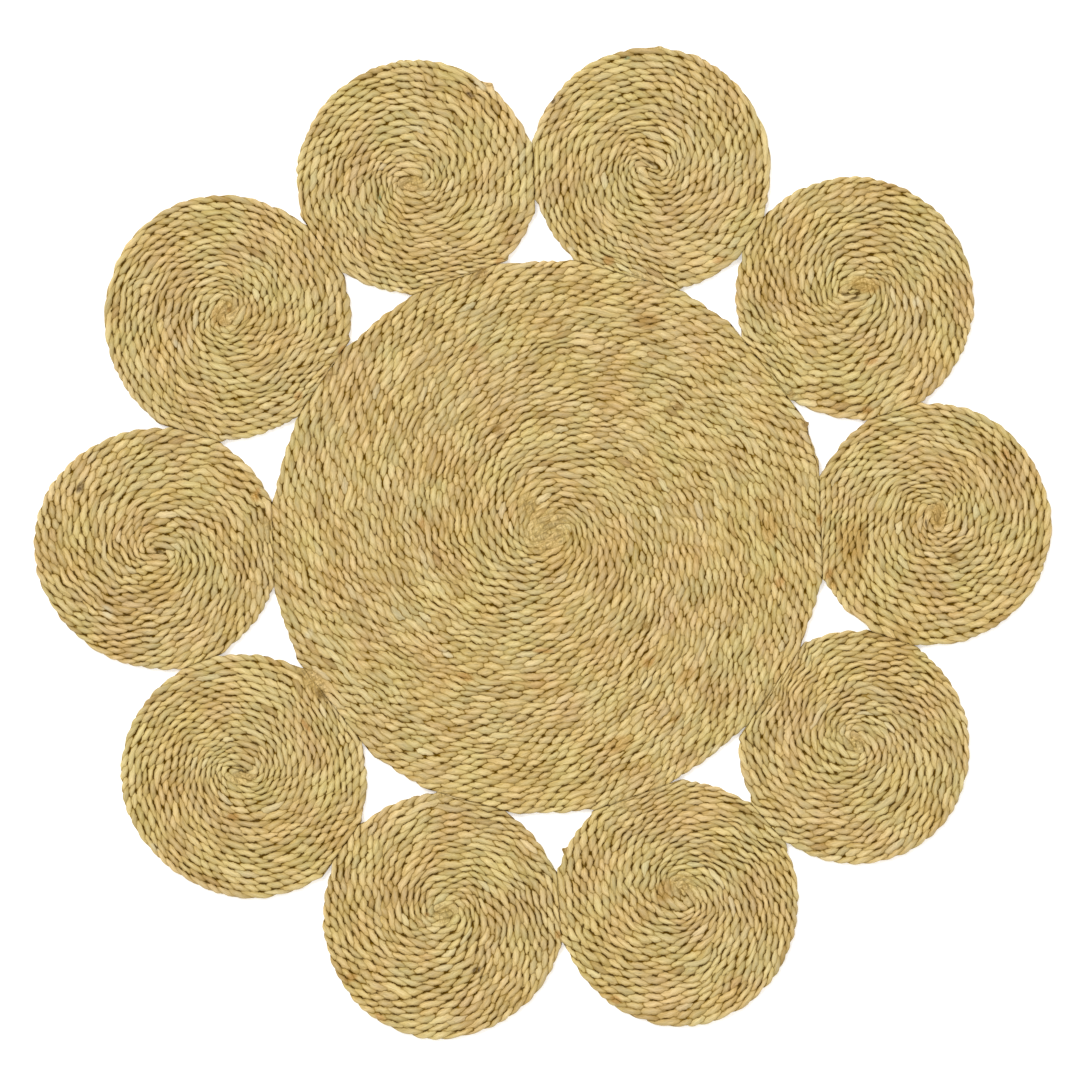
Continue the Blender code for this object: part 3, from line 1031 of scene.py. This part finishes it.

# Painted shade between lumps, in their pits and on the rim's sides: from where to where it fades
# out, how sharply, its greatest share, and how that changes over the coil
DEPTH_SCALE = 260.0
EDGE_SPAN = (0.02, 0.38)
CREVICE_POWER = 1.8
CREVICE_SHARES = (0.06, 0.88)
SHADE_SPAN = (0.12, 0.54)
SHADE_POWER = 1.6
SHADE_MOST = 0.88
SHADE_SHARES = (0.35, 1.35)
PIT_SPAN = (0.0, 0.23)
PIT_MOST = 0.85
# Painted shade on the rim's sides: the heights over the table where it begins and is whole, below
# and above, and its greatest share
RIM_SHADE_LOW = (0.6 * MM, 1.0 * MM)
RIM_SHADE_HIGH = (2.4 * MM, 1.7 * MM)
RIM_SHADE_MOST = 0.55

# The bump, in millimetres
STREAK_RELIEF = 0.16
HAIR_RELIEF = 0.08
BUMP_STRENGTH = 0.6

JUTE_GLOSS = 0.04


def mixed_jute(tree, here, lump, sources):
    """The jute's own colour, with blotches over the coil and slow change along the cord."""
    blotch, blotch_colour = noise(here, BLOTCH_SCALE, 4.0)
    inputs = {"W": lump * STRETCH_SCALE, "Scale": 1.0, "Detail": 3.0}
    stretch = new_value(tree, "ShaderNodeTexNoise", "Fac", inputs, noise_dimensions="1D")
    sources = {"blotch": blotch, "stretch": stretch, **sources}
    colour = JUTE
    for tone in TONES:
        share = sources[tone.by].ramp(tone.begins, tone.whole, 0.0, tone.most)
        colour = mixed(tree, share, colour, tone.colour)
    warmth, blueness, _ = blotch_colour.split()
    cast = new_value(tree, "ShaderNodeCombineColor", "Color", {
        "Red": warmth.ramp(*CAST_SPAN, *CAST_RED),
        "Green": warmth.ramp(*CAST_SPAN, *CAST_GREEN),
        "Blue": blueness.ramp(*CAST_SPAN, *CAST_BLUE),
    })
    return mixed(tree, 1.0, colour, cast, blend="MULTIPLY")


def marked(tree, colour, matted):
    """The colour under knots, stains and flecks, and the painted shade in slits. Theirs is stored
    weighted by their share.
    """
    weight = attribute(tree, "cord_marks", "Alpha")
    own = scaled(attribute(tree, "cord_marks", "Color"), 1.0 / weight.at_least(0.001))
    share = matted.ramp(*MATTED_SPAN, *MARK_SHOWS).figure("MULTIPLY", weight, clamp=True)
    return mixed(tree, share, colour, own)


def with_painted_shade(tree, here, colour, risen, edge, bare):
    """The colour with painted shade on the rim's sides, between the lumps and in their pits."""
    # Painted shade on the rim's sides, in a band of heights over the table
    over_table = here.split()[2]
    rim = over_table.ramp(*RIM_SHADE_LOW) * over_table.ramp(*RIM_SHADE_HIGH)
    colour = mixed(tree, rim * RIM_SHADE_MOST, colour, RIM_SHADE)
    depth, _ = noise(here, DEPTH_SCALE, 1.0)
    # Painted shade in the edges between lumps
    crevice_shade = edge ** CREVICE_POWER * depth.ramp(*SPAN, *CREVICE_SHARES) * bare
    colour = mixed(tree, crevice_shade, colour, CREVICE_SHADE)
    # Painted shade on the lumps' sloping sides, away from their tops
    shade = risen.ramp(*SHADE_SPAN, 1.0, 0.0) ** SHADE_POWER * SHADE_MOST
    shade = shade.figure("MULTIPLY", depth.ramp(*SPAN, *SHADE_SHARES), clamp=True)
    colour = mixed(tree, shade * bare, colour, CREVICE_SHADE)
    # Painted shade in the pits at the lumps' tips
    return mixed(tree, risen.ramp(*PIT_SPAN, PIT_MOST, 0.0) * bare, colour, PIT_SHADE)


def jute_group():
    """Twisted jute's colour, roughness and surface, for any twist."""
    cord_tree = relief_group(lump_group())
    fibre_tree = fibre_group()
    tree, along_drop, across_drop, pale = start_group(
        "twisted_jute", ["Along drop", "Across drop", "Pale"]
    )
    here = object_place(tree)
    cord = place_group(tree, cord_tree, along_drop=along_drop, across_drop=across_drop)
    lump, risen = cord["Lump"], cord["Risen"]
    fibres = place_group(tree, fibre_tree, along=cord["Along"], across=cord["Across"], lump=lump)
    streak, hair = fibres["Streak"], fibres["Hair"]
    dice = new_value(tree, "ShaderNodeTexWhiteNoise", "Color", {"W": lump}, noise_dimensions="1D")
    tone, tint, rare = dice.split()
    pale = tint * pale.times(PALE_COIL, plus=PALE_LUMP)
    first, second = [loose_fibres(here, angle) for angle in LOOSE_ANGLES]
    matted = first.at_most(second)
    calm = attribute(tree, "cord_calm", "Fac")
    bare = calm.times(-CALM_HIDES, plus=1.0)
    # How high a lump rises here sets its paler top, partly worn fibres and partly a painted
    # highlight
    sources = {"pale": pale, "rare": rare, "streak": streak, "top": risen}
    colour = marked(tree, mixed_jute(tree, here, lump, sources), matted)

    # Light and dark lumps, fibres and fuzz, and what catches the light is paler
    light = tone.ramp(0.0, 1.0, *LUMP_LIGHT) * hair.ramp(*SPAN, *HAIR_LIGHT)
    light = light * streak.ramp(*SPAN, *STREAK_LIGHT)
    light = light * (matted.ramp(*MATTED_SPAN, *FUZZ_LIGHT) - 1.0).times(calm, plus=1.0)
    colour = mixed(tree, light.ramp(*LIT_PALER), scaled(colour, light), JUTE_PALE)

    # A lump stands up steeply at its edges, and is flatter on top
    edge = cord["Crevice"].ramp(*EDGE_SPAN, 1.0, 0.0)
    height = (edge ** 2.0).times(-EDGE_RELIEF, plus=cord["Height"] * ROUND_RELIEF) * bare
    height = streak.times(STREAK_RELIEF, plus=height)
    return end_group(tree, {
        "Colour": with_painted_shade(tree, here, colour, risen, edge, bare),
        "Roughness": hair.ramp(*SPAN, *HAIR_ROUGHNESS),
        "Height": hair.times(HAIR_RELIEF, plus=height),
    })


def jute_material(name, jute_tree, coil):
    material = bpy.data.materials.new(name)
    material.use_nodes = True
    tree = material.node_tree
    jute = place_group(
        tree, jute_tree, along_drop=coil.twist.along_drop, across_drop=coil.twist.across_drop,
        pale=coil.pale,
    )
    inputs = {"Strength": BUMP_STRENGTH, "Distance": MM, "Height": jute["Height"]}
    shader = tree.nodes["Principled BSDF"].inputs
    fill(shader["Base Color"], jute["Colour"])
    fill(shader["Roughness"], jute["Roughness"])
    fill(shader["Specular IOR Level"], JUTE_GLOSS)
    fill(shader["Normal"], new_value(tree, "ShaderNodeBump", "Normal", inputs))
    return material


# Table, light and camera


FLOOR_SIZE = 6.0
FLOOR_Z = -0.0002           # just under the mat, so that the two faces don't flicker
FLOOR_GLOW = 0.36           # lifts the table to the photo's plain white
BACKDROP_LIGHT = 0.82       # how strongly the backdrop lights the mat,
BACKDROP_SEEN = 1.1         # and how white it is beyond the table
LIGHT_PLACE = (-0.9, 1.1, 2.2)
LIGHT_WIDTH = math.radians(26)
LIGHT_STRENGTH = 1.66


def floor_material():
    material = bpy.data.materials.new("white_table")
    material.use_nodes = True
    shader = material.node_tree.nodes["Principled BSDF"].inputs
    shader["Base Color"].default_value = (0.93, 0.93, 0.93, 1.0)
    shader["Roughness"].default_value = 0.9
    shader["Specular IOR Level"].default_value = 0.0
    shader["Emission Color"].default_value = (1.0, 1.0, 1.0, 1.0)
    shader["Emission Strength"].default_value = FLOOR_GLOW
    return material


def add_floor():
    bpy.ops.object.select_all(action="DESELECT")
    bpy.ops.mesh.primitive_plane_add(size=FLOOR_SIZE, location=(0, 0, FLOOR_Z))
    floor = bpy.context.object
    floor.name = "table"
    floor.data.materials.append(floor_material())


def add_backdrop():
    """A white backdrop that lights the mat from all sides."""
    world = bpy.data.worlds.new("studio")
    world.use_nodes = True
    tree = world.node_tree
    inputs = tree.nodes["Background"].inputs
    inputs["Color"].default_value = (1.0, 1.0, 1.0, 1.0)
    seen = new_value(tree, "ShaderNodeLightPath", "Is Camera Ray")
    fill(inputs["Strength"], seen.ramp(0.0, 1.0, BACKDROP_LIGHT, BACKDROP_SEEN))
    bpy.context.scene.world = world


def add_light():
    """A far, wide and even light that shines on the middle of the mat."""
    data = bpy.data.lights.new("studio_light", "SUN")
    data.angle = LIGHT_WIDTH
    data.energy = LIGHT_STRENGTH
    lamp = bpy.data.objects.new("studio_light", data)
    lamp.location = LIGHT_PLACE
    lamp.rotation_euler = (-Vector(LIGHT_PLACE)).to_track_quat("-Z", "Y").to_euler()
    bpy.context.scene.collection.objects.link(lamp)


# The photograph's frame: 1080 pixels of 0.375 mm, its middle 7.9 pixels left of and 3.8 pixels
# under the large coil's middle
PIXEL = 0.375 * MM
FRAME_PIXELS = 1080
VIEW_X = -7.9 * PIXEL
VIEW_Y = -3.8 * PIXEL


def add_camera():
    data = bpy.data.cameras.new("camera")
    data.type = "ORTHO"
    data.ortho_scale = FRAME_PIXELS * PIXEL
    camera = bpy.data.objects.new("camera", data)
    camera.location = (VIEW_X, VIEW_Y, 1.0)
    bpy.context.scene.collection.objects.link(camera)
    bpy.context.scene.camera = camera


def main():
    add_floor()
    add_backdrop()
    add_light()
    add_camera()
    bpy.context.scene.view_settings.view_transform = "Standard"
    jute_tree = jute_group()
    for number, coil in enumerate(COILS):
        cord = Cord(coil, number)
        material = jute_material("jute_cord_of_" + coil.node, jute_tree, coil)
        fineness = BROAD if coil.node == "centre_coil" else FINE
        piece = build_skin("cord_of_" + coil.node, cord, fineness, material)
        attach(piece, "root")
        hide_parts(coil.node)


main()
